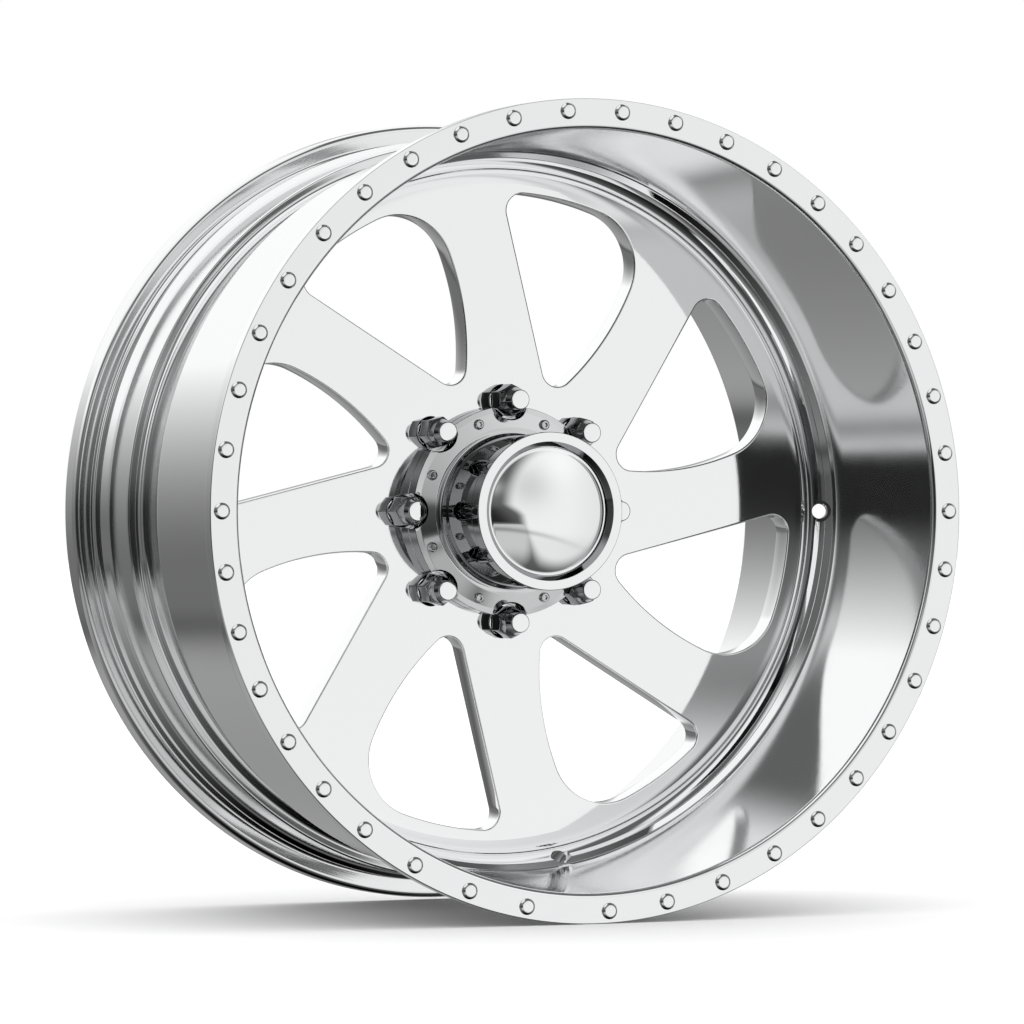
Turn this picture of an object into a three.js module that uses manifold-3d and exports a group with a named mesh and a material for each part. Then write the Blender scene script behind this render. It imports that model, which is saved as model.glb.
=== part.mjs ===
// A deep-dish 22 inch truck wheel in millimetres: a rolled barrel, a forged eight-spoke disc seated in it,
// a ring of pressed lip pins, eight lug nuts and a screwed-on hub cap.
// The axle lies along Y, the street side faces -Y, +Z is up, and the origin is the middle of the overall box.
import * as THREE from 'three';
import { mergeVertices } from 'three/addons/utils/BufferGeometryUtils.js';
import Module from 'manifold-3d';

// ---- driving dimensions ----
const SEAT_GAP = 0.3;              // clearance between two pieces that seat on each other
const LIP_RADIUS = 297;            // outside of the street-side lip
const BARREL_WIDTH = 306.8;        // lip face to the rear face of the rear flange
const RING_SEGMENTS = 64;

const BEAD_SEAT_RADIUS = 279.4;    // half of the 22 inch bead seat diameter
const FRONT_FLANGE_THICKNESS = 11;
const FRONT_FLANGE_CHAMFER = 1;
const REAR_FLANGE_RADIUS = 294.6;
const REAR_FLANGE_THICKNESS = 21.6;
const REAR_FLANGE_ROUND = 3;
const REAR_FLANGE_CROWN = 5;       // length of the rounded shoulder on the tyre side of the rear flange
const FLANGE_ROOT = 2.5;           // fillet between a flange and its bead seat
const BEAD_SEAT_LENGTH = 12;
const HUMP_HEIGHT = 1.5;
const HUMP_RISE = 2.5;             // lengths along the axle of the three parts of a safety hump
const HUMP_TOP = 3;
const HUMP_FALL = 5;
const LEDGE_RADIUS = 277.3;        // tyre-side ledges between the bead seats and the well
const LEDGE_TAPER = 1.1;           // radial fall of the front ledge towards the well
const WELL_RADIUS = 268;
const WELL_FRONT = 160;            // depths behind the lip face
const WELL_FLOOR_FRONT = 194.5;
const WELL_REAR = 218;
const WELL_CORNER = 3;             // chamfers of the rear well wall
const WELL_WALL = 6;               // barrel wall under the well
const REAR_WALL = 6;               // barrel wall under the rear ledge and bead seat
const REAR_STEP = 10;              // length of the slope between the two bores of the barrel
const REAR_STEP_START = 3;         // start of that slope ahead of the well's rear wall

const DISH_MOUTH_RADIUS = 278.4;   // inner edge of the flat lip face
const LIP_EDGE_ROUND = 3.6;
const DISH_FLOOR_RADIUS = 267;     // where the tapered dish wall ends
const DISH_DEPTH = 141;            // lip face to the end of the dish wall
const SHOULDER_RIM = [0.8, 4];     // turned shoulder below the dish wall: radial step and added depth
const SHOULDER_EDGE = [5, 8];
const SHOULDER_FOOT = [6.7, 14];

const DISC_FACE_DEPTH = 162.8;     // lip face to the polished disc face
const DISC_THICKNESS = 20;
const DISC_RADIUS = 254.7;
const DISC_EDGE_ROUND = 11.5;      // radial width of the rounded disc edge
const DISC_EDGE_DROP = 3;
const DISC_SEAT_WIDTH = 7;         // radial width of the ledge that the disc rests on
const DISC_SEAT_LENGTH = 9;
const DISC_SEAT_SLOPE = 6;         // length of the slope behind that ledge
const DISC_EDGE_STEPS = 4;

const HUB_PAD_MARGIN = 15.95;      // lug circle to the edge of the hub pad
const HUB_PAD_HEIGHT = 10.6;       // how far the hub pad stands behind the spokes
const HUB_PAD_FOOT = [2.5, 2.5];   // fillet at the foot of the pad: radial width and height
const HUB_PAD_CHAMFER = 1;
const CENTRE_BORE_RADIUS = 62.5;
const LUG_COUNT = 8;
const LUG_CIRCLE_RADIUS = 82.55;
const STUD_HOLE_RADIUS = 8;
const LUG_SEAT_RADIUS = 11.6;      // mouth of the 60 degree cone seat
const LUG_SEAT_DEPTH = 6;

const WINDOW_COUNT = 8;
const WINDOW_BAND_WIDTH = 17.3;    // solid band between the windows and the disc edge
const WINDOW_EDGE_OFFSET = 56.2;   // distance of the straight window edge from the axle
const WINDOW_EDGE_TILT = 13.83;    // degrees between that edge and the spoke line
const WINDOW_SWEEP_RADIUS = 200.8; // radius of the curved window edge
const WINDOW_SWEEP_CENTRE = 259.5; // distance of its centre from the axle
const WINDOW_SWEEP_ANGLE = 107.9;  // degrees round the axle to its centre
const WINDOW_HEEL_ROUND = 12.9;    // corner between straight edge and outer arc
const WINDOW_TOE_ROUND = 42.4;     // corner between outer arc and curved edge
const WINDOW_TIP_ROUND = 12.3;     // corner at the hub
const WINDOW_CORNER_STEPS = 6;
const WINDOW_ARC_STEPS = 8;

const VALVE_HOLE_RADIUS = 5.65;
const VALVE_SPOT_RADIUS = 8.2;
const VALVE_SPOT_DEPTH = 2;
const VALVE_REACH = 60;            // length of the drill behind the mouth of the hole
const VALVE_TILT = 24;             // degrees between hole and axle
const VALVE_MOUTH_RADIUS = 260.3;
const VALVE_MOUTH_DEPTH = 155;
const VALVE_ANGLES = [0, -80.6];   // degrees round the axle from +X

const PIN_EDGE_DISTANCE = 8.9;     // pin axis to the outside of the lip
const PIN_PITCH = 360 / 42;        // degrees between pins outside the bottom group
const PIN_UPPER_COUNT = 35;
const PIN_LOWER_COUNT = 6;
const PIN_LOWER_GAP = 13;          // degrees between the two middle pins of the bottom group
const PIN_RING_TURN = -PIN_PITCH / 2; // the whole ring is turned half a pitch
const PIN_HEAD_RADIUS = 6;
const PIN_FLAT_RADIUS = 4;
const PIN_HEAD_HEIGHT = 2;
const PIN_RIM_HEIGHT = 0.6;        // straight edge of the head below its bevel
const PIN_SHANK_RADIUS = 3;
const PIN_SHANK_LENGTH = 7;
const PIN_SEGMENTS = 8;

const NUT_CORNER_RADIUS = 12.1;    // 21 mm across flats
const NUT_HEX_LENGTH = 17.4;
const NUT_TAPER_LENGTH = 6.6;
const NUT_NECK_RADIUS = 8.3;
const NUT_TIP_RADIUS = 7.5;
const NUT_TIP_LENGTH = 7.4;
const NUT_TIP_CHAMFER = 1.2;
const NUT_FRONT_CHAMFER = 3;       // length of the round chamfer on the corners at the taper end
const NUT_BACK_CHAMFER = 2;
const NUT_CONE_LENGTH = 5;
const NUT_CONE_STEP = 0.2;         // radial step between the cone and the mouth of its seat
const NUT_BORE_RADIUS = 6.3;
const NUT_BORE_END = 6;            // solid length left at the closed tip
const NUT_SEGMENTS = 14;

const CAP_BODY_RADIUS = 56;
const CAP_BODY_WALL = 5;
const CAP_RING_OVERHANG = 2;       // how far the cap ring stands out round the cap body
const CAP_RING_WIDTH = 7;          // flat front of the ring
const CAP_RING_LENGTH = 14.6;
const CAP_RING_BEVEL = 3.4;
const CAP_RING_FRONT_CHAMFER = 0.6;
const CAP_RING_BACK_BEVEL = [1, 3]; // radial width and length
const CAP_HEIGHT = 85;             // disc face to the front of the cap ring
const CAP_FRONT_WALL = 4;
const CAP_SEGMENTS = 40;
const DOME_RISE = 9;
const DOME_WALL = 3;
const DOME_STEPS = 5;
const DOME_FLANGE_WIDTH = 2.8;
const DOME_LIP_DEPTH = 4;          // thickness of the ring lip in front of the dome flange
const DOME_SET_BACK = 2;           // ring bevel to the edge of the dome
const SKIRT_INSET = 4.55;          // skirt edge to the lug circle
const SKIRT_HEIGHT = 17;
const SKIRT_BEVEL = 6;
const SKIRT_NUT_CLEARANCE = 2.1;   // scallop wall to the corners of a turning nut
const SKIRT_STEPS = 8;
const CAP_SCREW_INSET = 13.15;     // cap screw circle to the lug circle
const CAP_SCREW_HOLE_RADIUS = 2.6;
const CAP_SCREW_DEPTH = 12;        // threaded depth in the disc
const SCREW_SEGMENTS = 10;
const CUT = 1;                     // how far a cutting solid stands out past the face it opens

// ---- materials ----
function metal(name, color, roughness) {
  return new THREE.MeshStandardMaterial({ name, color, roughness, metalness: 1 });
}
const polishedAluminium = metal('polished_aluminium', 0xdfe1e3, 0.08);
const machinedAluminium = metal('machined_aluminium', 0xd6d8da, 0.2);
const chrome = metal('chrome', 0xe4e6e8, 0.04);

// ---- placement and solids ----
const wasm = await Module();
wasm.setup();

const overallWidth = BARREL_WIDTH + PIN_HEAD_HEIGHT;
const lipPlane = PIN_HEAD_HEIGHT - overallWidth / 2;

function fromLip(depth) {
  return lipPlane + depth;
}

function radians(degrees) {
  return THREE.MathUtils.degToRad(degrees);
}

function aroundAxle(radius, degrees, y) {
  return new THREE.Vector3(radius * Math.cos(radians(degrees)), y, radius * Math.sin(radians(degrees)));
}

function signedVolume(position, index) {
  const [a, b, c] = [new THREE.Vector3(), new THREE.Vector3(), new THREE.Vector3()];
  let sum = 0;
  for (let i = 0; i < index.length; i += 3) {
    a.fromBufferAttribute(position, index[i]);
    b.fromBufferAttribute(position, index[i + 1]);
    c.fromBufferAttribute(position, index[i + 2]);
    sum += a.dot(b.cross(c));
  }
  return sum;
}

// Turns a closed geometry into a solid whose faces point outwards.
function solidOf(geometry) {
  geometry.deleteAttribute('normal');
  geometry.deleteAttribute('uv');
  const merged = mergeVertices(geometry, 1e-4);
  const position = merged.getAttribute('position');
  const faces = [];
  for (let i = 0; i < merged.index.count; i += 3) {
    const [a, b, c] = [0, 1, 2].map((k) => merged.index.getX(i + k));
    if (a !== b && b !== c && c !== a) faces.push(a, b, c);
  }
  if (signedVolume(position, faces) < 0) faces.reverse();
  const mesh = new wasm.Mesh({
    numProp: 3,
    vertProperties: new Float32Array(position.array),
    triVerts: new Uint32Array(faces),
  });
  mesh.merge();
  return new wasm.Manifold(mesh);
}

// A ring or a plug turned about the axle from a closed list of [radius, y] points.
function turned(profile, segments) {
  const points = profile.map(([radius, y]) => new THREE.Vector2(radius, y));
  const touchesAxle = points[0].x === 0 && points[points.length - 1].x === 0;
  if (!touchesAxle) points.push(points[0].clone());
  return solidOf(new THREE.LatheGeometry(points, segments));
}

// A straight-sided solid from an outline in the wheel plane, between two places along the axle.
function prism(outline, front, rear) {
  const geometry = new THREE.ExtrudeGeometry(new THREE.Shape(outline), {
    depth: rear - front,
    bevelEnabled: false,
  });
  geometry.rotateX(Math.PI / 2);
  geometry.translate(0, rear, 0);
  return solidOf(geometry);
}

function roundBar(radius, front, rear, segments) {
  return turned([[0, front], [radius, front], [radius, rear], [0, rear]], segments);
}

function cutAll(solid, cutters) {
  return cutters.reduce((left, cutter) => left.subtract(cutter), solid);
}

function place(solid, position, tilt = 0, degrees = 0) {
  // The tilt leans the +Y axis outwards before the piece is turned round the axle.
  const matrix = new THREE.Matrix4().makeTranslation(position.x, position.y, position.z)
    .multiply(new THREE.Matrix4().makeRotationY(-radians(degrees)))
    .multiply(new THREE.Matrix4().makeRotationZ(-radians(tilt)));
  return solid.transform(matrix.elements);
}

function node(name, solid, material) {
  const mesh = solid.getMesh();
  const geometry = new THREE.BufferGeometry();
  geometry.setAttribute('position', new THREE.BufferAttribute(Float32Array.from(mesh.vertProperties), 3));
  geometry.setIndex(Array.from(mesh.triVerts));
  geometry.computeVertexNormals();
  const piece = new THREE.Mesh(geometry, material.clone());
  piece.name = name;
  return piece;
}

// ---- rim barrel ----
const pinCircleRadius = LIP_RADIUS - PIN_EDGE_DISTANCE;
const discSocketRadius = DISC_RADIUS + SEAT_GAP;
const discSeatRadius = discSocketRadius - DISC_SEAT_WIDTH;
const discBack = fromLip(DISC_FACE_DEPTH + DISC_THICKNESS);
const discSeat = discBack + SEAT_GAP;

// A point of the turned shoulder, from its radial step and its added depth.
function shoulder([step, depth]) {
  return [DISH_FLOOR_RADIUS - step, fromLip(DISH_DEPTH + depth)];
}

// The closed section of the barrel, from the lip face over the tyre side and back through the bore.
function barrelProfile() {
  const front = fromLip(0);
  const rear = fromLip(BARREL_WIDTH);
  const flangeFace = fromLip(BARREL_WIDTH - REAR_FLANGE_THICKNESS);
  const frontFlangeBack = fromLip(FRONT_FLANGE_THICKNESS);
  const wellFloor = WELL_RADIUS - WELL_WALL;
  const wellRear = fromLip(WELL_REAR);
  const rearBore = LEDGE_RADIUS - REAR_WALL;
  const rearSlope = wellRear - REAR_STEP_START;
  const humpRadius = BEAD_SEAT_RADIUS + HUMP_HEIGHT;
  const frontSeat = frontFlangeBack + FLANGE_ROOT;
  const frontHump = frontSeat + BEAD_SEAT_LENGTH + HUMP_RISE;
  const rearSeat = flangeFace - FLANGE_ROOT;
  const rearHump = rearSeat - BEAD_SEAT_LENGTH - HUMP_RISE;
  return [
    [DISH_MOUTH_RADIUS, front],
    [LIP_RADIUS - FRONT_FLANGE_CHAMFER, front],
    [LIP_RADIUS, front + FRONT_FLANGE_CHAMFER],
    [LIP_RADIUS, frontFlangeBack - FRONT_FLANGE_CHAMFER],
    [LIP_RADIUS - FRONT_FLANGE_CHAMFER, frontFlangeBack],
    [BEAD_SEAT_RADIUS + FLANGE_ROOT, frontFlangeBack],
    [BEAD_SEAT_RADIUS, frontSeat],
    [BEAD_SEAT_RADIUS, frontSeat + BEAD_SEAT_LENGTH],
    [humpRadius, frontHump],
    [humpRadius, frontHump + HUMP_TOP],
    [LEDGE_RADIUS, frontHump + HUMP_TOP + HUMP_FALL],
    [LEDGE_RADIUS - LEDGE_TAPER, fromLip(WELL_FRONT)],
    [WELL_RADIUS, fromLip(WELL_FLOOR_FRONT)],
    [WELL_RADIUS, wellRear - WELL_CORNER],
    [WELL_RADIUS + WELL_CORNER, wellRear],
    [LEDGE_RADIUS - WELL_CORNER / 2, wellRear],
    [LEDGE_RADIUS, wellRear + WELL_CORNER / 2],
    [LEDGE_RADIUS, rearHump - HUMP_TOP - HUMP_FALL],
    [humpRadius, rearHump - HUMP_TOP],
    [humpRadius, rearHump],
    [BEAD_SEAT_RADIUS, rearSeat - BEAD_SEAT_LENGTH],
    [BEAD_SEAT_RADIUS, rearSeat],
    [BEAD_SEAT_RADIUS + FLANGE_ROOT, flangeFace],
    [REAR_FLANGE_RADIUS - REAR_FLANGE_ROUND, flangeFace],
    [REAR_FLANGE_RADIUS - REAR_FLANGE_ROUND / 3, flangeFace + REAR_FLANGE_CROWN / 3],
    [REAR_FLANGE_RADIUS, flangeFace + REAR_FLANGE_CROWN],
    [REAR_FLANGE_RADIUS, rear - REAR_FLANGE_ROUND],
    [REAR_FLANGE_RADIUS - REAR_FLANGE_ROUND, rear],
    [rearBore + REAR_FLANGE_ROUND, rear],
    [rearBore, rear - REAR_FLANGE_ROUND],
    [rearBore, rearSlope + REAR_STEP],
    [wellFloor, rearSlope],
    [wellFloor, discSeat + DISC_SEAT_LENGTH + DISC_SEAT_SLOPE],
    [discSeatRadius, discSeat + DISC_SEAT_LENGTH],
    [discSeatRadius, discSeat],
    [discSocketRadius, discSeat],
    [discSocketRadius, fromLip(DISC_FACE_DEPTH + DISC_EDGE_DROP)],
    shoulder(SHOULDER_FOOT),
    shoulder(SHOULDER_EDGE),
    shoulder(SHOULDER_RIM),
    [DISH_FLOOR_RADIUS, fromLip(DISH_DEPTH)],
    [DISH_MOUTH_RADIUS - LIP_EDGE_ROUND, front + LIP_EDGE_ROUND],
    [DISH_MOUTH_RADIUS - LIP_EDGE_ROUND / 3, front + LIP_EDGE_ROUND / 3],
  ];
}

function pinAngles() {
  const middle = -90;
  const lowerSpan = 360 - (PIN_UPPER_COUNT - 1) * PIN_PITCH;
  const lowerPitch = (lowerSpan - PIN_LOWER_GAP) / PIN_LOWER_COUNT;
  const angles = [];
  for (let i = 0; i < PIN_UPPER_COUNT; i += 1) {
    angles.push(middle + lowerSpan / 2 + i * PIN_PITCH);
  }
  for (let i = 0; i < PIN_LOWER_COUNT / 2; i += 1) {
    const offset = PIN_LOWER_GAP / 2 + i * lowerPitch;
    angles.push(middle - offset, middle + offset);
  }
  return angles.map((angle) => angle + PIN_RING_TURN);
}

function valveCutter() {
  const approach = -VALVE_REACH / 3;
  const spot = roundBar(VALVE_SPOT_RADIUS, approach, VALVE_SPOT_DEPTH, NUT_SEGMENTS);
  const bore = roundBar(VALVE_HOLE_RADIUS, approach, VALVE_REACH, NUT_SEGMENTS);
  return spot.add(bore);
}

function rimBarrel() {
  const holes = pinAngles().map((degrees) => {
    const bottom = PIN_SHANK_LENGTH + SEAT_GAP;
    const hole = roundBar(PIN_SHANK_RADIUS + SEAT_GAP, -CUT, bottom, PIN_SEGMENTS);
    return place(hole, aroundAxle(pinCircleRadius, degrees, fromLip(0)));
  });
  const valves = VALVE_ANGLES.map((degrees) => {
    const mouth = aroundAxle(VALVE_MOUTH_RADIUS, degrees, fromLip(VALVE_MOUTH_DEPTH));
    return place(valveCutter(), mouth, VALVE_TILT, degrees);
  });
  const solid = cutAll(turned(barrelProfile(), RING_SEGMENTS), [...holes, ...valves]);
  return node('rim_barrel', solid, polishedAluminium);
}

// ---- lip pins ----
function lipPin() {
  const face = -SEAT_GAP;
  return turned([
    [0, -PIN_HEAD_HEIGHT],
    [PIN_FLAT_RADIUS, -PIN_HEAD_HEIGHT],
    [PIN_HEAD_RADIUS, face - PIN_RIM_HEIGHT / 2],
    [PIN_HEAD_RADIUS, face],
    [PIN_SHANK_RADIUS, face],
    [PIN_SHANK_RADIUS, PIN_SHANK_LENGTH],
    [0, PIN_SHANK_LENGTH],
  ], PIN_SEGMENTS);
}

// ---- spoke disc ----
const discFace = fromLip(DISC_FACE_DEPTH);
const padBack = discBack + HUB_PAD_HEIGHT;
const padRadius = LUG_CIRCLE_RADIUS + HUB_PAD_MARGIN;

function discBlank() {
  const roundStart = DISC_RADIUS - DISC_EDGE_ROUND;
  const edge = [];
  for (let i = 0; i <= DISC_EDGE_STEPS; i += 1) {
    const angle = (i / DISC_EDGE_STEPS) * Math.PI / 2;
    const out = DISC_EDGE_ROUND * Math.sin(angle);
    const drop = DISC_EDGE_DROP * (1 - Math.cos(angle));
    edge.push([roundStart + out, discFace + drop]);
  }
  return turned([
    [CENTRE_BORE_RADIUS, discFace],
    ...edge,
    [DISC_RADIUS, discBack],
    [padRadius + HUB_PAD_FOOT[0], discBack],
    [padRadius, discBack + HUB_PAD_FOOT[1]],
    [padRadius, padBack - HUB_PAD_CHAMFER],
    [padRadius - HUB_PAD_CHAMFER, padBack],
    [CENTRE_BORE_RADIUS, padBack],
  ], RING_SEGMENTS);
}

function meetingPoints(centreA, radiusA, centreB, radiusB) {
  const apart = centreB.clone().sub(centreA);
  const distance = apart.length();
  const along = (radiusA ** 2 - radiusB ** 2 + distance ** 2) / (2 * distance);
  const across = Math.sqrt(Math.max(radiusA ** 2 - along ** 2, 0));
  const direction = apart.normalize();
  const foot = centreA.clone().addScaledVector(direction, along);
  const side = new THREE.Vector2(-direction.y, direction.x);
  return [1, -1].map((sign) => foot.clone().addScaledVector(side, sign * across));
}

function lineMeetsCircle(start, direction, centre, radius) {
  const offset = start.clone().sub(centre);
  const along = offset.dot(direction);
  const reach = Math.sqrt(Math.max(along ** 2 - offset.lengthSq() + radius ** 2, 0));
  return [1, -1].map((sign) => start.clone().addScaledVector(direction, sign * reach - along));
}

function arcPoints(centre, radius, from, to, steps) {
  const points = [];
  for (let i = 0; i <= steps; i += 1) {
    const angle = from + (to - from) * i / steps;
    points.push(new THREE.Vector2(centre.x + radius * Math.cos(angle), centre.y + radius * Math.sin(angle)));
  }
  return points;
}

// One window: a straight edge, an arc concentric with the rim and a swept edge, with three rounded corners.
function windowOutline() {
  const axle = new THREE.Vector2(0, 0);
  const outer = DISC_RADIUS - WINDOW_BAND_WIDTH;
  const tilt = radians(90 + WINDOW_EDGE_TILT);
  const up = new THREE.Vector2(Math.cos(tilt), Math.sin(tilt));
  const inward = new THREE.Vector2(up.y, -up.x);
  const edgeStart = inward.clone().multiplyScalar(WINDOW_EDGE_OFFSET);
  const sweepAngle = radians(WINDOW_SWEEP_ANGLE);
  const sweepCentre = new THREE.Vector2(Math.cos(sweepAngle), Math.sin(sweepAngle));
  sweepCentre.multiplyScalar(WINDOW_SWEEP_CENTRE);

  const heelLine = edgeStart.clone().addScaledVector(inward, WINDOW_HEEL_ROUND);
  const heel = lineMeetsCircle(heelLine, up, axle, outer - WINDOW_HEEL_ROUND)[0];
  const tipLine = edgeStart.clone().addScaledVector(inward, WINDOW_TIP_ROUND);
  const tip = lineMeetsCircle(tipLine, up, sweepCentre, WINDOW_SWEEP_RADIUS - WINDOW_TIP_ROUND)[1];
  const toes = meetingPoints(
    axle, outer - WINDOW_TOE_ROUND,
    sweepCentre, WINDOW_SWEEP_RADIUS - WINDOW_TOE_ROUND,
  );
  const toe = toes[0].x > toes[1].x ? toes[0] : toes[1];

  const angleFrom = (centre, point) => Math.atan2(point.y - centre.y, point.x - centre.x);
  const outwardAngle = tilt + Math.PI / 2;
  const heelAngle = angleFrom(axle, heel);
  const toeAngle = angleFrom(axle, toe);
  const sweepToToe = angleFrom(sweepCentre, toe);
  const sweepToTip = angleFrom(sweepCentre, tip);
  return [
    ...arcPoints(heel, WINDOW_HEEL_ROUND, outwardAngle, heelAngle, WINDOW_CORNER_STEPS),
    ...arcPoints(axle, outer, heelAngle, toeAngle, WINDOW_ARC_STEPS).slice(1, -1),
    ...arcPoints(toe, WINDOW_TOE_ROUND, toeAngle, sweepToToe, WINDOW_CORNER_STEPS),
    ...arcPoints(sweepCentre, WINDOW_SWEEP_RADIUS, sweepToToe, sweepToTip, WINDOW_ARC_STEPS).slice(1, -1),
    ...arcPoints(tip, WINDOW_TIP_ROUND, sweepToTip, outwardAngle - 2 * Math.PI, WINDOW_CORNER_STEPS),
  ];
}

function lugHole() {
  const front = discFace - CUT;
  const back = padBack + CUT;
  return turned([
    [0, front],
    [LUG_SEAT_RADIUS, front],
    [LUG_SEAT_RADIUS, discFace],
    [STUD_HOLE_RADIUS, discFace + LUG_SEAT_DEPTH],
    [STUD_HOLE_RADIUS, back],
    [0, back],
  ], NUT_SEGMENTS);
}

function evenAngles(count, first) {
  return Array.from({ length: count }, (_, i) => first + i * 360 / count);
}

const lugAngles = evenAngles(LUG_COUNT, 0);
const screwAngles = evenAngles(LUG_COUNT, 180 / LUG_COUNT);
const screwCircleRadius = LUG_CIRCLE_RADIUS - CAP_SCREW_INSET;

function spokeDisc() {
  const window = prism(windowOutline(), discFace - CUT, padBack + CUT);
  const windows = evenAngles(WINDOW_COUNT, 0).map((degrees) => place(window, new THREE.Vector3(), 0, degrees));
  const lugs = lugAngles.map((degrees) => place(lugHole(), aroundAxle(LUG_CIRCLE_RADIUS, degrees, 0)));
  const screws = screwAngles.map((degrees) => {
    const bottom = discFace + CAP_SCREW_DEPTH;
    const hole = roundBar(CAP_SCREW_HOLE_RADIUS, discFace - CUT, bottom, SCREW_SEGMENTS);
    return place(hole, aroundAxle(screwCircleRadius, degrees, 0));
  });
  const solid = cutAll(discBlank(), [...windows, ...lugs, ...screws]);
  return node('spoke_disc', solid, polishedAluminium);
}

// ---- lug nuts ----
// The nut stands on its 60 degree cone, with its hexagon just clear of the disc face.
function lugNut() {
  const hexBack = -SEAT_GAP;
  const hexFront = hexBack - NUT_HEX_LENGTH;
  const neck = hexFront - NUT_TAPER_LENGTH;
  const tip = neck - NUT_TIP_LENGTH;
  const coneSlope = (LUG_SEAT_RADIUS - STUD_HOLE_RADIUS) / LUG_SEAT_DEPTH;
  const coneRadius = LUG_SEAT_RADIUS - SEAT_GAP - NUT_CONE_STEP;
  const coneBack = hexBack + NUT_CONE_LENGTH;
  const shoulderRadius = NUT_CORNER_RADIUS * Math.cos(Math.PI / 6);
  const sleeveRadius = NUT_CORNER_RADIUS + CUT;
  const shell = turned([
    [0, tip],
    [NUT_TIP_RADIUS - NUT_TIP_CHAMFER, tip],
    [NUT_TIP_RADIUS, tip + NUT_TIP_CHAMFER],
    [NUT_NECK_RADIUS, neck],
    [shoulderRadius, hexFront],
    [sleeveRadius, hexFront + NUT_FRONT_CHAMFER],
    [sleeveRadius, hexBack - NUT_BACK_CHAMFER],
    [coneRadius, hexBack],
    [coneRadius - coneSlope * NUT_CONE_LENGTH, coneBack],
    [0, coneBack],
  ], NUT_SEGMENTS);
  const hexagon = roundBar(NUT_CORNER_RADIUS, tip - CUT, hexBack, 6);
  const cone = roundBar(coneRadius, hexBack - CUT, coneBack + CUT, NUT_SEGMENTS);
  const bore = roundBar(NUT_BORE_RADIUS, tip + NUT_BORE_END, coneBack + CUT, NUT_SEGMENTS);
  return shell.intersect(hexagon.add(cone)).subtract(bore);
}

// ---- hub cap ----
const capFront = fromLip(DISC_FACE_DEPTH - CAP_HEIGHT);
const ringBack = capFront + CAP_RING_LENGTH;
const bodyFront = ringBack + SEAT_GAP;
const skirtBack = discFace - SEAT_GAP;
const skirtFront = skirtBack - SKIRT_HEIGHT;
const skirtRadius = LUG_CIRCLE_RADIUS - SKIRT_INSET;
const ringRadius = CAP_BODY_RADIUS + CAP_RING_OVERHANG;
const ringInner = ringRadius - CAP_RING_WIDTH;
const ringLip = capFront + CAP_RING_BEVEL;
const domeRadius = ringInner - CAP_RING_BEVEL;
const domeFlangeRadius = domeRadius + DOME_FLANGE_WIDTH;
const domeFlangeFront = ringLip + DOME_LIP_DEPTH + SEAT_GAP;

// The skirt is round, with a scallop round each lug nut.
function skirtOutline() {
  const scallop = NUT_CORNER_RADIUS + SKIRT_NUT_CLEARANCE;
  const axle = new THREE.Vector2(0, 0);
  const outline = [];
  lugAngles.forEach((degrees) => {
    const middle = radians(degrees);
    const nut = new THREE.Vector2(Math.cos(middle), Math.sin(middle)).multiplyScalar(LUG_CIRCLE_RADIUS);
    const [start, end] = meetingPoints(axle, skirtRadius, nut, scallop)
      .sort((a, b) => wrapped(a, middle) - wrapped(b, middle));
    const from = Math.atan2(start.y - nut.y, start.x - nut.x);
    let to = Math.atan2(end.y - nut.y, end.x - nut.x);
    while (to > from) to -= 2 * Math.PI;
    outline.push(...arcPoints(nut, scallop, from, to, SKIRT_STEPS));
    const lobeEnd = radians(degrees + 360 / LUG_COUNT) - wrapped(end, middle);
    const lobe = arcPoints(axle, skirtRadius, middle + wrapped(end, middle), lobeEnd, 3);
    outline.push(...lobe.slice(1, -1));
  });
  return outline;
}

// The angle of a point round the axle, measured from a middle angle.
function wrapped(point, middle) {
  const turn = Math.atan2(point.y, point.x) - middle;
  return Math.atan2(Math.sin(turn), Math.cos(turn));
}

function hubCapBody() {
  const inner = CAP_BODY_RADIUS - CAP_BODY_WALL;
  const mouth = domeRadius - DOME_FLANGE_WIDTH;
  const tube = turned([
    [mouth, bodyFront],
    [CAP_BODY_RADIUS, bodyFront],
    [CAP_BODY_RADIUS, skirtBack],
    [inner, skirtBack],
    [inner, bodyFront + CAP_FRONT_WALL],
    [mouth, bodyFront + CAP_FRONT_WALL],
  ], CAP_SEGMENTS);
  const joined = (inner + CAP_BODY_RADIUS) / 2;
  const bevelled = turned([
    [joined, skirtFront],
    [skirtRadius - SKIRT_BEVEL, skirtFront],
    [skirtRadius + CUT, skirtFront + SKIRT_BEVEL],
    [skirtRadius + CUT, skirtBack],
    [joined, skirtBack],
  ], CAP_SEGMENTS);
  const skirt = prism(skirtOutline(), skirtFront - CUT, skirtBack + CUT).intersect(bevelled);
  const screws = screwAngles.map((degrees) => {
    const hole = roundBar(CAP_SCREW_HOLE_RADIUS, skirtFront - CUT, skirtBack + CUT, SCREW_SEGMENTS);
    return place(hole, aroundAxle(screwCircleRadius, degrees, 0));
  });
  return node('hub_cap_body', cutAll(tube.add(skirt), screws), chrome);
}

function hubCapRing() {
  const recess = domeFlangeRadius + SEAT_GAP;
  const lipBack = domeFlangeFront - SEAT_GAP;
  const [backWidth, backLength] = CAP_RING_BACK_BEVEL;
  const solid = turned([
    [ringInner, capFront],
    [ringRadius - CAP_RING_FRONT_CHAMFER, capFront],
    [ringRadius, capFront + CAP_RING_FRONT_CHAMFER],
    [ringRadius, ringBack - backLength],
    [ringRadius - backWidth, ringBack],
    [recess, ringBack],
    [recess, lipBack],
    [domeRadius, lipBack],
    [domeRadius, ringLip],
  ], CAP_SEGMENTS);
  return node('hub_cap_ring', solid, chrome);
}

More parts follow.
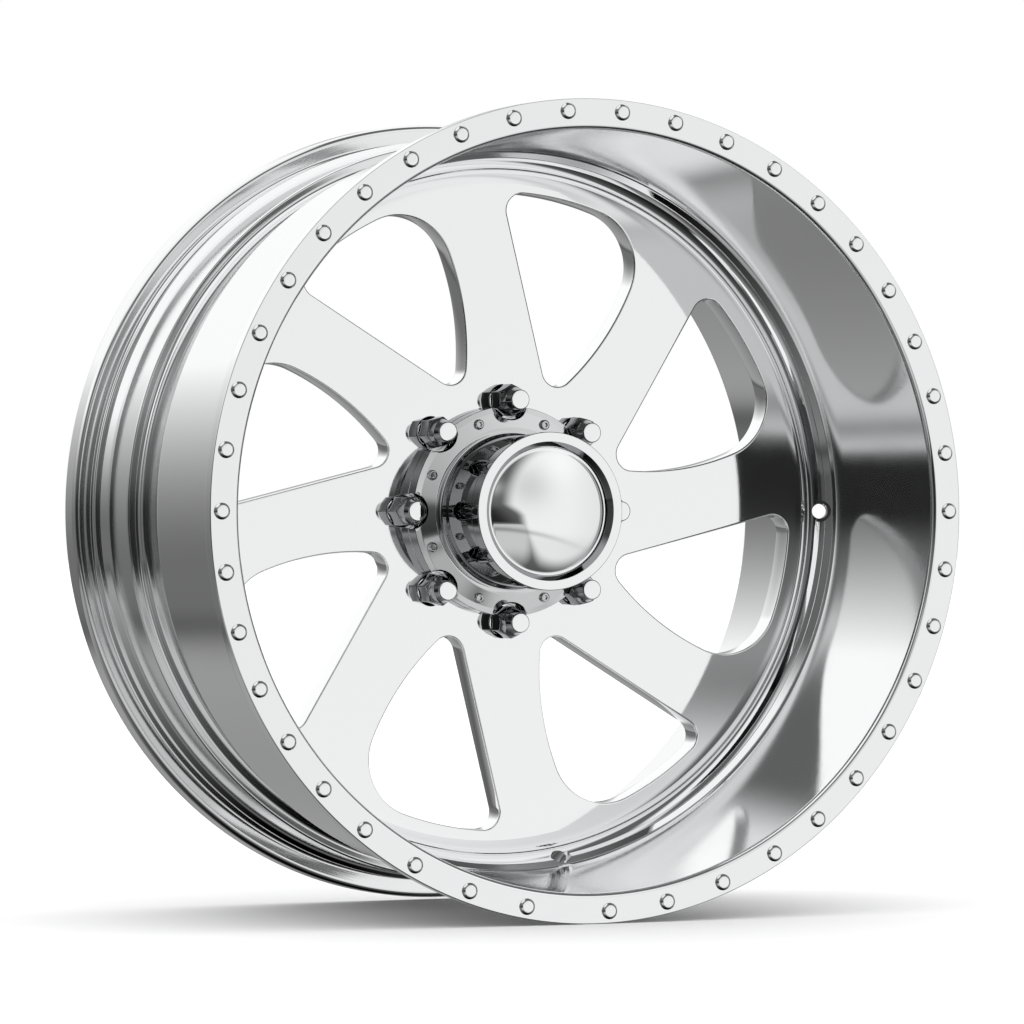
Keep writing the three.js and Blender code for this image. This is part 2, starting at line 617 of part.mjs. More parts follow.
// The dome is a shallow spherical shell with a flange caught between the ring and the cap body.
function hubCapDome() {
  const rim = domeRadius - SEAT_GAP;
  const sphere = (rim ** 2 + DOME_RISE ** 2) / (2 * DOME_RISE);
  const rimPlane = ringLip + DOME_SET_BACK;
  const centre = rimPlane - DOME_RISE + sphere;
  const halfAngle = Math.asin(rim / sphere);
  const flangeBack = ringBack;
  const innerRim = rim - DOME_WALL;
  const innerSphere = sphere - DOME_WALL;
  const innerAngle = Math.asin(innerRim / innerSphere);
  const outer = [];
  const inner = [];
  for (let i = 0; i <= DOME_STEPS; i += 1) {
    const share = i / DOME_STEPS;
    const angle = halfAngle * share;
    const backAngle = innerAngle * (1 - share);
    outer.push([sphere * Math.sin(angle), centre - sphere * Math.cos(angle)]);
    inner.push([innerSphere * Math.sin(backAngle), centre - innerSphere * Math.cos(backAngle)]);
  }
  outer[0][0] = 0;
  inner[DOME_STEPS][0] = 0;
  const solid = turned([
    ...outer,
    [rim, domeFlangeFront],
    [domeFlangeRadius, domeFlangeFront],
    [domeFlangeRadius, flangeBack],
    [innerRim, flangeBack],
    ...inner,
  ], CAP_SEGMENTS);
  return node('hub_cap_dome', solid, chrome);
}

// ---- the wheel ----
const wheel = new THREE.Group();
wheel.name = 'wheel';
wheel.add(rimBarrel(), spokeDisc(), hubCapBody(), hubCapRing(), hubCapDome());

pinAngles().forEach((degrees, i) => {
  const pin = node(`lip_pin_${String(i + 1).padStart(2, '0')}`, lipPin(), machinedAluminium);
  pin.position.copy(aroundAxle(pinCircleRadius, degrees, fromLip(0)));
  wheel.add(pin);
});

lugAngles.forEach((degrees, i) => {
  const nut = node(`lug_nut_${i + 1}`, lugNut(), chrome);
  nut.position.copy(aroundAxle(LUG_CIRCLE_RADIUS, degrees, discFace));
  nut.rotation.y = -radians(degrees);
  wheel.add(nut);
});

export default wheel;
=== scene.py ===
import math

import bmesh
import bpy
import numpy as np
from mathutils.geometry import tessellate_polygon
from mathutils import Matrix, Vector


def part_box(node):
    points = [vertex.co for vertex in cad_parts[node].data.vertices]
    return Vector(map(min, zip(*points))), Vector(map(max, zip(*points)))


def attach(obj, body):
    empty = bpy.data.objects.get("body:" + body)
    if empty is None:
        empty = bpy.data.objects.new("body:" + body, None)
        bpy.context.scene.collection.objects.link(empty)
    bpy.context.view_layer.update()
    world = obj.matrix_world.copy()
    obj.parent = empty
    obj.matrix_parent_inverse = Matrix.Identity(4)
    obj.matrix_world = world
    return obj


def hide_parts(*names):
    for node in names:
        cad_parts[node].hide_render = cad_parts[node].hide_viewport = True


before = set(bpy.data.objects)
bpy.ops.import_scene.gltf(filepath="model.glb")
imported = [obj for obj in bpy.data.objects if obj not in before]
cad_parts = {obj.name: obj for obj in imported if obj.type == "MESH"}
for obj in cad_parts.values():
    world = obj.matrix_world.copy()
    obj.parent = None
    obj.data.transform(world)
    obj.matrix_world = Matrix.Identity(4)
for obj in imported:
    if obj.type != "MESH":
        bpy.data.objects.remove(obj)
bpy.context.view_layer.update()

MM = 0.001
TAU = 2 * math.pi

# ---- places that come from the frame ----
LIP_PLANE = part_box("rim_barrel")[0].y / MM
BARREL_WIDTH = (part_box("rim_barrel")[1].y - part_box("rim_barrel")[0].y) / MM
LIP_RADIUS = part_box("rim_barrel")[1].x / MM
DISC_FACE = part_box("spoke_disc")[0].y / MM
PAD_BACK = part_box("spoke_disc")[1].y / MM
CAP_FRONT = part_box("hub_cap_ring")[0].y / MM
FLOOR_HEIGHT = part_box("rim_barrel")[0].z

# ---- barrel section, in millimetres behind the lip face ----
DISH_MOUTH_RADIUS = 275.0
LIP_EDGE_ROUND = 3.6
DISH_FLOOR_RADIUS = 267.0
DISH_DEPTH = 141.0
FRONT_FLANGE = 11.0
BEAD_SEAT_RADIUS = 279.4
BEAD_SEAT_LENGTH = 12.0
FLANGE_ROOT = 2.5
HUMP_HEIGHT = 1.5
HUMP_RISE = 2.5
HUMP_TOP = 3.0
HUMP_FALL = 5.0
LEDGE_RADIUS = 277.3
LEDGE_TAPER = 1.1
WELL_RADIUS = 268.0
WELL_FRONT = 160.0
WELL_FLOOR_FRONT = 194.5
WELL_REAR = 218.0
REAR_FLANGE_RADIUS = 294.6
REAR_FLANGE = 21.6
REAR_STEP = 10.0
REAR_STEP_START = 3.0
BARREL_WALL = 6.0
SHOULDER_RIM = (0.8, 4.0)
SHOULDER_EDGE = (5.0, 8.0)
SHOULDER_FOOT = (6.7, 14.0)
DISC_SEAT_WIDTH = 7.0
DISC_SEAT_LENGTH = 9.0
DISC_SEAT_SLOPE = 6.0

# ---- disc ----
DISC_RADIUS = 254.7
DISC_EDGE_ROUND = 11.5
DISC_EDGE_DROP = 3.0
DISC_THICKNESS = 20.0
SEAT_GAP = 0.3
SPOKE_EDGE_ROUND = 1.3
HUB_PAD_RADIUS = 98.5
HUB_PAD_FOOT = 2.5
CENTRE_BORE_RADIUS = 62.5
LUG_COUNT = 8
LUG_CIRCLE_RADIUS = 82.55
STUD_HOLE_RADIUS = 8.0
LUG_SEAT_RADIUS = 11.6
LUG_SEAT_DEPTH = 6.0

WINDOW_COUNT = 8
WINDOW_OUTER_RADIUS = 237.4
WINDOW_EDGE_OFFSET = 56.2
WINDOW_EDGE_TILT = math.radians(13.83)
WINDOW_SWEEP_RADIUS = 200.8
WINDOW_SWEEP_CENTRE = 259.5
WINDOW_SWEEP_ANGLE = math.radians(107.9)
WINDOW_HEEL_ROUND = 12.9
WINDOW_TOE_ROUND = 42.4
WINDOW_TIP_ROUND = 12.3

# ---- valve holes ----
VALVE_HOLE_RADIUS = 5.65
VALVE_SPOT_RADIUS = 8.2
VALVE_SPOT_DEPTH = 2.0
VALVE_TILT = math.radians(24)
VALVE_MOUTH_RADIUS = 260.3
VALVE_MOUTH_DEPTH = 155.0
VALVE_BURR = 0.5
VALVE_REACH = (-22.0, 60.0)
VALVE_ANGLES = (0.0, math.radians(-80.6))

# ---- small parts ----
PIN_HEAD_RADIUS = 6.0
PIN_FLAT_RADIUS = 4.2
PIN_HEAD_HEIGHT = 2.0
NUT_CORNER_RADIUS = 12.1
NUT_HEX_LENGTH = 17.4
NUT_TAPER_LENGTH = 6.6
NUT_NECK_RADIUS = 8.3
NUT_TIP_RADIUS = 7.5
NUT_TIP_LENGTH = 7.4
NUT_TIP_ROUND = 1.1
NUT_BORE_RADIUS = 6.3
NUT_BORE_END = 6.0
CAP_BODY_RADIUS = 56.0
CAP_BODY_WALL = 5.0
CAP_RING_RADIUS = 58.0
CAP_RING_INNER = 51.0
CAP_RING_LENGTH = 14.6
CAP_RING_BEVEL = 3.4
DOME_RIM_RADIUS = 47.3
DOME_RADIUS = 45.4
DOME_SET_BACK = 2.0
DOME_WALL = 3.0
SKIRT_RADIUS = 78.0
SKIRT_HEIGHT = 17.0
SKIRT_BEVEL = 4.2
SKIRT_SCALLOP = 14.2
SKIRT_FLAT_RADIUS = 62.0
SKIRT_SLANT = 3.4
CAP_SCREW_CIRCLE = 69.4
CAP_SCREW_HEAD_RADIUS = 3.8
CAP_SCREW_HEAD_HEIGHT = 2.6
CAP_SCREW_SOCKET_RADIUS = 1.9
CAP_SCREW_SINK = 1.3

RING_STEPS = 384
SHARP_ANGLE = math.radians(28)
# Faces that look forward more squarely than this keep the bright chrome; the others get painted shade.
FORWARD_FACING = 0.9

# ---- studio and camera ----
FLOOR_HALF = 30
BACKDROP_LIGHT = 1.0
MATT_LIGHT = 1.6
CAMERA_LENS = 208.6
CAMERA_PLACE = (-1.800, -4.022, -0.0006)
CAMERA_TURN = -math.atan2(0.409, 0.9126)


# ---- outlines and profiles ----
def rounded_corners(corners, steps=7, support=0.35):
    """Straight runs joined by arcs, as a closed loop. Each corner is (x, y, radius): the arc touches both runs,
    its radius is cut back where a run is short, and a support point lies just beyond either end of it."""
    points = np.array([corner[:2] for corner in corners], float)
    radii = np.array([corner[2] for corner in corners], float)
    before = np.roll(points, 1, axis=0) - points
    after = np.roll(points, -1, axis=0) - points
    before_length = np.linalg.norm(before, axis=1)
    after_length = np.linalg.norm(after, axis=1)
    before /= before_length[:, None]
    after /= after_length[:, None]
    half_turn = (math.pi - np.arccos(np.clip((before * after).sum(1), -1, 1))) / 2
    reach = np.minimum(radii * np.tan(half_turn), 0.45 * np.minimum(before_length, after_length))
    path = []
    for corner, into, out, turn, touch in zip(points, before, after, half_turn, reach):
        if touch < 1e-6 or turn < 1e-4:
            path.append(corner[None])
            continue
        radius = touch / math.tan(turn)
        middle = (into + out) / np.linalg.norm(into + out)
        centre = corner + middle * radius / math.cos(turn)
        start = corner + into * touch - centre
        end = corner + out * touch - centre
        sweep = np.linspace(0, 1, steps)[:, None]
        whole = 2 * turn
        arc = centre + (np.sin((1 - sweep) * whole) * start + np.sin(sweep * whole) * end) / math.sin(whole)
        path += [corner + into * (touch + support), arc, corner + out * (touch + support)]
    return np.vstack([np.atleast_2d(part) for part in path])


def circle(radius, steps, centre=(0.0, 0.0), start=0.0):
    """Points at even angles round a centre."""
    angle = start + np.arange(steps) * TAU / steps
    return np.stack([centre[0] + radius * np.cos(angle), centre[1] + radius * np.sin(angle)], axis=1)


def arc(centre, radius, start, end, steps):
    """Points at even angles from one angle to another, both ends kept."""
    angle = np.linspace(start, end, steps)
    return np.stack([centre[0] + radius * np.cos(angle), centre[1] + radius * np.sin(angle)], axis=1)


def turned_about_axle(points, angle):
    """The same points turned in the wheel plane."""
    cosine, sine = math.cos(angle), math.sin(angle)
    return points @ np.array([[cosine, sine], [-sine, cosine]])


def circles_meet(centre_a, radius_a, centre_b, radius_b):
    """The two points that lie at both radii: a step along the line of centres, then one to either side."""
    apart = centre_b - centre_a
    distance = np.linalg.norm(apart)
    along = (radius_a**2 - radius_b**2 + distance**2) / (2 * distance)
    across = math.sqrt(max(radius_a**2 - along**2, 0))
    direction = apart / distance
    side = np.array([-direction[1], direction[0]])
    return centre_a + direction * along + side * across, centre_a + direction * along - side * across


def line_meets_circle(start, direction, centre, radius, sign):
    """The point of a line at a radius from a centre, ahead or behind the nearest point."""
    offset = start - centre
    along = offset @ direction
    return start + direction * (sign * math.sqrt(along**2 - offset @ offset + radius**2) - along)


def bearing(centre, point):
    """The angle at which a point is seen from a centre."""
    return math.atan2(point[1] - centre[1], point[0] - centre[0])


def window_outline(inset=0.0, fine=1):
    """A straight edge, an arc concentric with the rim and a swept edge, joined by three corner arcs.
    A positive inset makes the window larger all round."""
    axle = np.zeros(2)
    tilt = math.pi / 2 + WINDOW_EDGE_TILT
    up = np.array([math.cos(tilt), math.sin(tilt)])
    inward = np.array([up[1], -up[0]])
    outer = WINDOW_OUTER_RADIUS + inset
    sweep_radius = WINDOW_SWEEP_RADIUS + inset
    heel_round = WINDOW_HEEL_ROUND + inset
    toe_round = WINDOW_TOE_ROUND + inset
    tip_round = WINDOW_TIP_ROUND + inset
    edge = inward * (WINDOW_EDGE_OFFSET - inset)
    sweep_centre = WINDOW_SWEEP_CENTRE * np.array([math.cos(WINDOW_SWEEP_ANGLE), math.sin(WINDOW_SWEEP_ANGLE)])
    heel = line_meets_circle(edge + inward * heel_round, up, axle, outer - heel_round, 1)
    tip = line_meets_circle(edge + inward * tip_round, up, sweep_centre, sweep_radius - tip_round, -1)
    toes = circles_meet(axle, outer - toe_round, sweep_centre, sweep_radius - toe_round)
    toe = max(toes, key=lambda point: point[0])
    outward = tilt + math.pi / 2
    heel_angle, toe_angle = bearing(axle, heel), bearing(axle, toe)
    to_toe, to_tip = bearing(sweep_centre, toe), bearing(sweep_centre, tip)
    straight = np.linspace(tip - inward * tip_round, heel - inward * heel_round, 24 * fine + 2)[1:-1]
    return np.vstack([
        arc(heel, heel_round, outward, heel_angle, 14 * fine),
        arc(axle, outer, heel_angle, toe_angle, 20 * fine)[1:-1],
        arc(toe, toe_round, toe_angle, to_toe, 18 * fine),
        arc(sweep_centre, sweep_radius, to_toe, to_tip, 26 * fine)[1:-1],
        arc(tip, tip_round, to_tip, outward - TAU, 16 * fine),
        straight,
    ])


# ---- surfaces ----
def grid_faces(rows, columns, wrap_rows, wrap_columns):
    """Quads between neighbouring points of a grid, closing round where a direction wraps."""
    row = np.arange(rows if wrap_rows else rows - 1)
    column = np.arange(columns if wrap_columns else columns - 1)
    row, column = np.meshgrid(row, column, indexing="ij")
    next_row, next_column = (row + 1) % rows, (column + 1) % columns
    corners = [row * columns + column, next_row * columns + column,
               next_row * columns + next_column, row * columns + next_column]
    return np.stack([corner.ravel() for corner in corners], axis=1)


def revolved(profile, steps=RING_STEPS, closed=True):
    """A profile of [radius, y] carried round the axle: each point becomes a ring."""
    angle = np.arange(steps) * TAU / steps
    radius, y = profile[:, 0, None], profile[:, 1, None]
    points = np.stack([radius * np.cos(angle), y + 0 * angle, radius * np.sin(angle)], axis=2)
    return points.reshape(-1, 3), grid_faces(len(profile), steps, closed, True)


def stacked(loops, levels):
    """Wheel-plane loops of the same length at a row of y places, joined by quads."""
    points = np.vstack([np.stack([loop[:, 0], np.full(len(loop), y), loop[:, 1]], axis=1)
                        for loop, y in zip(loops, levels)])
    return points, grid_faces(len(loops), len(loops[0]), False, True)


def flat_region(loops, y):
    """A flat area at one y place inside the first loop and outside the others, cut into triangles."""
    points = np.vstack(loops)
    lists = [[(x, z, 0.0) for x, z in loop] for loop in loops]
    triangles = np.array(tessellate_polygon(lists))
    return np.stack([points[:, 0], np.full(len(points), y), points[:, 1]], axis=1), triangles


def moved(surface, offset):
    """The same surface with an offset added to every point."""
    return surface[0] + np.array(offset), surface[1]


def piece(name, surfaces, material, body="wheel", replaces=(), smooth_angle=SHARP_ANGLE):
    """One closed mesh from its surfaces, in metres: shared edges are merged and faces turned outwards."""
    builder = bmesh.new()
    for points, faces in surfaces:
        scratch = bpy.data.meshes.new("scratch")
        scratch.from_pydata((points * MM).tolist(), [], faces.tolist())
        builder.from_mesh(scratch)
        bpy.data.meshes.remove(scratch)
    bmesh.ops.remove_doubles(builder, verts=builder.verts, dist=2e-6)
    bmesh.ops.dissolve_degenerate(builder, edges=builder.edges, dist=1e-7)
    bmesh.ops.recalc_face_normals(builder, faces=builder.faces)
    mesh = bpy.data.meshes.new(name)
    builder.to_mesh(mesh)
    builder.free()
    mesh.shade_smooth()
    mesh.set_sharp_from_angle(angle=smooth_angle)
    mesh.materials.append(material)
    made = bpy.data.objects.new(name, mesh)
    bpy.context.scene.collection.objects.link(made)
    if body:
        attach(made, body)
    if replaces:
        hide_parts(*replaces)
    return made


# ---- rim barrel ----
def barrel_profile():
    """The barrel section as corners of (radius, depth, fillet), from the lip face over the tyre side and back
    through the bore: straight runs joined by arcs."""
    lip, seat, hump = LIP_RADIUS, BEAD_SEAT_RADIUS, BEAD_SEAT_RADIUS + HUMP_HEIGHT
    front_seat = FRONT_FLANGE + FLANGE_ROOT + BEAD_SEAT_LENGTH
    rear_face = BARREL_WIDTH - REAR_FLANGE
    rear_seat = rear_face - FLANGE_ROOT - BEAD_SEAT_LENGTH
    hump_top = HUMP_RISE + HUMP_TOP
    hump_foot = hump_top + HUMP_FALL
    socket = DISC_RADIUS + SEAT_GAP
    seat_depth = DISC_FACE - LIP_PLANE + DISC_THICKNESS + SEAT_GAP
    well_bore, rear_bore = WELL_RADIUS - BARREL_WALL, LEDGE_RADIUS - BARREL_WALL
    corners = [
        (DISH_MOUTH_RADIUS, 0, LIP_EDGE_ROUND),
        (lip, 0, 0.8),
        (lip, FRONT_FLANGE, 1.2),
        (seat, FRONT_FLANGE, 3.5),
        (seat, front_seat, 3),
        (hump, front_seat + HUMP_RISE, 2),
        (hump, front_seat + hump_top, 2),
        (LEDGE_RADIUS, front_seat + hump_foot, 5),
        (LEDGE_RADIUS - LEDGE_TAPER, WELL_FRONT, 14),
        (WELL_RADIUS, WELL_FLOOR_FRONT, 14),
        (WELL_RADIUS, WELL_REAR, 4),
        (LEDGE_RADIUS, WELL_REAR, 1.6),
        (LEDGE_RADIUS, rear_seat - hump_foot, 5),
        (hump, rear_seat - hump_top, 2),
        (hump, rear_seat - HUMP_RISE, 2),
        (seat, rear_seat, 3),
        (seat, rear_face, 2.6),
        (REAR_FLANGE_RADIUS, rear_face, 4.5),
        (REAR_FLANGE_RADIUS, BARREL_WIDTH, 3.5),
        (rear_bore, BARREL_WIDTH, 3),
        (rear_bore, WELL_REAR - REAR_STEP_START + REAR_STEP, 8),
        (well_bore, WELL_REAR - REAR_STEP_START, 8),
        (well_bore, seat_depth + DISC_SEAT_LENGTH + DISC_SEAT_SLOPE, 4),
        (socket - DISC_SEAT_WIDTH, seat_depth + DISC_SEAT_LENGTH, 2),
        (socket - DISC_SEAT_WIDTH, seat_depth, 0.5),
        (socket, seat_depth, 0),
        (socket, DISC_FACE - LIP_PLANE + DISC_EDGE_DROP, 0.5),
        (DISH_FLOOR_RADIUS - SHOULDER_FOOT[0], DISH_DEPTH + SHOULDER_FOOT[1], 2),
        (DISH_FLOOR_RADIUS - SHOULDER_EDGE[0], DISH_DEPTH + SHOULDER_EDGE[1], 1.6),
        (DISH_FLOOR_RADIUS - SHOULDER_RIM[0], DISH_DEPTH + SHOULDER_RIM[1], 1.2),
        (DISH_FLOOR_RADIUS, DISH_DEPTH, 1.5),
    ]
    profile = rounded_corners(corners, steps=5)
    profile[:, 1] += LIP_PLANE
    return profile


def leaned(points, angle, tilt, radius, depth):
    """A cutter about +Y leant outwards by a tilt, turned round the axle and set at a radius and depth."""
    lean = np.array([[math.cos(tilt), math.sin(tilt), 0], [-math.sin(tilt), math.cos(tilt), 0], [0, 0, 1]])
    turn = np.array([[math.cos(angle), 0, -math.sin(angle)], [0, 1, 0], [math.sin(angle), 0, math.cos(angle)]])
    place = np.array([radius * math.cos(angle), LIP_PLANE + depth, radius * math.sin(angle)])
    return points @ lean.T @ turn.T + place


def solid_of_revolution(profile, steps):
    """A closed solid from a profile that starts and ends on the axis."""
    return revolved(np.array(profile, float), steps, closed=False)


def cut_with(target, cutters):
    """The target with each cutter taken away. The cutters are dropped afterwards."""
    for cutter in cutters:
        change = target.modifiers.new("cut", "BOOLEAN")
        change.operation = "DIFFERENCE"
        change.solver = "EXACT"
        change.object = cutter
    graph = bpy.context.evaluated_depsgraph_get()
    mesh = bpy.data.meshes.new_from_object(target.evaluated_get(graph))
    target.modifiers.clear()
    target.data = mesh
    mesh.set_sharp_from_angle(angle=SHARP_ANGLE)
    for cutter in cutters:
        bpy.data.objects.remove(cutter)


def valve_cutter(name, angle, material):
    """A drilled hole with a flat spot face round its mouth."""
    out, deep = VALVE_REACH
    profile = [(0, out), (VALVE_SPOT_RADIUS, out), (VALVE_SPOT_RADIUS, VALVE_SPOT_DEPTH),
               (VALVE_HOLE_RADIUS + VALVE_BURR, VALVE_SPOT_DEPTH),
               (VALVE_HOLE_RADIUS, VALVE_SPOT_DEPTH + VALVE_BURR), (VALVE_HOLE_RADIUS, deep), (0, deep)]
    points, faces = solid_of_revolution(profile, 48)
    return piece(name, [(leaned(points, angle, VALVE_TILT, VALVE_MOUTH_RADIUS, VALVE_MOUTH_DEPTH), faces)],
                 material, body=None)


# ---- spoke disc ----
def lug_angles(first=0.0):
    """Even angles round the axle, one for each lug, from a first one."""
    return [first + i * TAU / LUG_COUNT for i in range(LUG_COUNT)]


def on_circle(radius, angle):
    """The wheel-plane point at a radius and angle."""
    return np.array([radius * math.cos(angle), radius * math.sin(angle)])


def disc_surfaces():
    """Flat front and back faces joined by the rounded windows, lug seats, outer edge and hub pad. Each flat face
    has a narrow flat border so that its shading stays flat."""
    face, back = DISC_FACE, DISC_FACE + DISC_THICKNESS
    edge, border = SPOKE_EDGE_ROUND, 0.35
    quarter = np.linspace(0, math.pi / 2, 5)
    rounded_in, rounded_out = edge * (1 - np.sin(quarter)), edge * (1 - np.cos(quarter))
    window_insets = [edge + border, *rounded_in, *rounded_out, edge + border]
    window_levels = [face, *(face + rounded_out), *(back - rounded_in), back]
    shapes = [window_outline(inset, fine=2) for inset in window_insets]
    surfaces, fronts, backs = [], [], []
    for i in range(WINDOW_COUNT):
        loops = [turned_about_axle(shape, i * TAU / WINDOW_COUNT) for shape in shapes]
        surfaces.append(stacked(loops, window_levels))
        fronts.append(loops[0])
        backs.append(loops[-1])
    lug_radii = [LUG_SEAT_RADIUS + 0.7, LUG_SEAT_RADIUS + 0.35, LUG_SEAT_RADIUS + 0.1, LUG_SEAT_RADIUS - 0.25,
                 STUD_HOLE_RADIUS, STUD_HOLE_RADIUS, STUD_HOLE_RADIUS + 0.6, STUD_HOLE_RADIUS + 1]
    lug_levels = [face, face, face + 0.12, face + 0.45, face + LUG_SEAT_DEPTH,
                  PAD_BACK - 0.6, PAD_BACK, PAD_BACK]
    lug_fronts, lug_backs = [], []
    for angle in lug_angles():
        loops = [circle(radius, 64, on_circle(LUG_CIRCLE_RADIUS, angle)) for radius in lug_radii]
        surfaces.append(stacked(loops, lug_levels))
        lug_fronts.append(loops[0])
        lug_backs.append(loops[-1])
    around = lambda radius, steps=RING_STEPS: circle(radius, steps)
    start = DISC_RADIUS - DISC_EDGE_ROUND
    sweep = np.linspace(0, math.pi / 2, 13)
    rim = [around(start - border)] + [around(start + DISC_EDGE_ROUND * math.sin(a)) for a in sweep]
    rim_levels = [face] + [face + DISC_EDGE_DROP * (1 - math.cos(a)) for a in sweep]
    rim += [around(DISC_RADIUS), around(DISC_RADIUS - 0.8), around(DISC_RADIUS - 1.2)]
    rim_levels += [back - 0.8, back, back]
    surfaces.append(stacked(rim, rim_levels))
    bore = [around(CENTRE_BORE_RADIUS + 1.2, 128), around(CENTRE_BORE_RADIUS + 0.8, 128),
            around(CENTRE_BORE_RADIUS, 128), around(CENTRE_BORE_RADIUS, 128),
            around(CENTRE_BORE_RADIUS + 0.8, 128), around(CENTRE_BORE_RADIUS + 1.2, 128)]
    surfaces.append(stacked(bore, [face, face, face + 0.8, PAD_BACK - 0.8, PAD_BACK, PAD_BACK]))
    pad = [around(HUB_PAD_RADIUS + HUB_PAD_FOOT + border, 256)]
    pad += [around(HUB_PAD_RADIUS + HUB_PAD_FOOT * (1 - math.sin(a)), 256) for a in quarter]
    pad_levels = [back] + [back + HUB_PAD_FOOT * (1 - math.cos(a)) for a in quarter]
    pad += [around(HUB_PAD_RADIUS, 256), around(HUB_PAD_RADIUS - 0.8, 256), around(HUB_PAD_RADIUS - 1.2, 256)]
    pad_levels += [PAD_BACK - 0.8, PAD_BACK, PAD_BACK]
    surfaces.append(stacked(pad, pad_levels))
    surfaces.append(flat_region([rim[0], *fronts, *lug_fronts, bore[0]], face))
    surfaces.append(flat_region([rim[-1], *backs, pad[0]], back))
    surfaces.append(flat_region([pad[-1], *lug_backs, bore[-1]], PAD_BACK))
    return surfaces


# ---- lug nuts ----
def hexagon_radius(angle, corner, corner_round=0.9):
    """Distance from the axis to a hexagon with rounded corners: the flat's plane, and an arc near a corner."""
    local = (angle + math.pi / 6) % (math.pi / 3) - math.pi / 6
    local = math.pi / 6 - np.abs(local)
    flat = corner * math.cos(math.pi / 6)
    plane = flat / np.cos(local)
    centre = (flat - corner_round) / math.cos(math.pi / 6)
    offset = math.pi / 6 - local
    arc_reach = centre * np.cos(offset) + np.sqrt(np.maximum(corner_round**2 - (centre * np.sin(offset)) ** 2, 0))
    inside_arc = centre * np.sin(offset) < corner_round * math.sin(math.pi / 6)
    return np.where(inside_arc, arc_reach, plane)


def nut_surfaces():
    """One nut about the axis, its seat plane at y = 0. Every column round the axis is a profile whose shoulder
    follows the line where the turned chamfer meets the hexagon."""
    hex_back = -SEAT_GAP
    hex_front = hex_back - NUT_HEX_LENGTH
    neck = hex_front - NUT_TAPER_LENGTH
    tip = neck - NUT_TIP_LENGTH
    step = math.pi / 3
    share = np.concatenate([np.linspace(0, 0.11, 7), np.linspace(0.11, 0.89, 13)[1:-1],
                            np.linspace(0.89, 1, 7)[:-1]])
    angle = (np.arange(6)[:, None] * step + share * step).ravel()
    wall = hexagon_radius(angle, NUT_CORNER_RADIUS)
    flat = NUT_CORNER_RADIUS * math.cos(math.pi / 6)
    ones = np.ones_like(angle)
    front_slope, back_slope = 1.15, 0.6
    rise = wall - (flat - 0.25)
    front_crease = hex_front + rise * front_slope
    back_crease = hex_back - rise * back_slope
    cone_mouth = LUG_SEAT_RADIUS - 0.5
    rows = [(0 * ones, tip * ones), (0.6 * NUT_TIP_RADIUS * ones, tip * ones)]
    chamfer = np.linspace(0, math.pi / 2, 6)
    for a in chamfer:
        round_radius = NUT_TIP_RADIUS - NUT_TIP_ROUND + NUT_TIP_ROUND * math.sin(a)
        rows.append((round_radius * ones, (tip + NUT_TIP_ROUND * (1 - math.cos(a))) * ones))
    rows += [(NUT_NECK_RADIUS * ones, (neck - 0.5) * ones), ((NUT_NECK_RADIUS + 0.1) * ones, neck * ones),
             ((flat - 0.55) * ones, (hex_front - 0.35) * ones), ((flat - 0.25) * ones, hex_front * ones)]
    ease = np.minimum(0.45 * rise, 0.5)
    rows += [(wall - ease, front_crease - ease * front_slope), (wall - 0.25 * ease, front_crease + 0.02),
             (wall, front_crease + 0.25 + ease), (wall, (hex_front + hex_back) / 2 * ones),
             (wall, back_crease - 0.25 - ease), (wall - 0.25 * ease, back_crease - 0.02),
             (wall - ease, back_crease + ease * back_slope), ((flat - 0.25) * ones, hex_back * ones),
             (cone_mouth * 0.93 * ones, hex_back * ones)]
    cone_slope = (LUG_SEAT_RADIUS - STUD_HOLE_RADIUS) / LUG_SEAT_DEPTH
    rows += [(cone_mouth * 0.93 * ones - cone_slope * 5, (hex_back + 5) * ones),
             (NUT_BORE_RADIUS * ones, (hex_back + 5) * ones),
             (NUT_BORE_RADIUS * ones, (tip + NUT_BORE_END) * ones), (0 * ones, (tip + NUT_BORE_END) * ones)]
    points = np.array([np.stack([r * np.cos(angle), y, r * np.sin(angle)], axis=1) for r, y in rows])
    return points.reshape(-1, 3), grid_faces(len(rows), len(angle), False, True)


def turned_piece(surface, angle):
    """A surface about the axis turned in place and moved out to the lug circle."""
    points, faces = surface
    cosine, sine = math.cos(angle), math.sin(angle)
    x = points[:, 0] * cosine - points[:, 2] * sine
    z = points[:, 0] * sine + points[:, 2] * cosine
    return np.stack([x, points[:, 1], z], axis=1), faces


# ---- hub cap ----
def skirt_outline(outer, scallop):
    """A circle with a round bite at each lug nut: arc of the bite, then arc of the circle to the next one."""
    distance = LUG_CIRCLE_RADIUS
    along = (outer**2 - scallop**2 + distance**2) / (2 * distance)
    half = math.acos(along / outer)
    bite_half = math.acos((distance - along) / scallop)
    outline = []
    for angle in lug_angles():
        nut = on_circle(distance, angle)
        inwards = angle + math.pi
        outline.append(arc(nut, scallop, inwards + bite_half, inwards - bite_half, 33))
        outline.append(arc((0, 0), outer, angle + half, angle + TAU / LUG_COUNT - half, 18)[1:-1])
    return np.vstack(outline)


def skirt_drop(radius):
    """How far the skirt's front lies behind its inner edge: a straight cone from the inner edge outwards."""
    return SKIRT_SLANT * max(0.0, radius - SKIRT_FLAT_RADIUS) / (SKIRT_RADIUS - SKIRT_BEVEL - SKIRT_FLAT_RADIUS)


def coned_loop(outline, share):
    """Points a share of the way from the flat's circle to the outline, and the depth of the cone under each."""
    reach = np.hypot(outline[:, 0], outline[:, 1])
    inner = outline * (SKIRT_FLAT_RADIUS / reach)[:, None]
    loop = inner + (outline - inner) * share
    drop = [skirt_drop(radius) for radius in np.hypot(loop[:, 0], loop[:, 1])]
    return loop, np.array(drop)


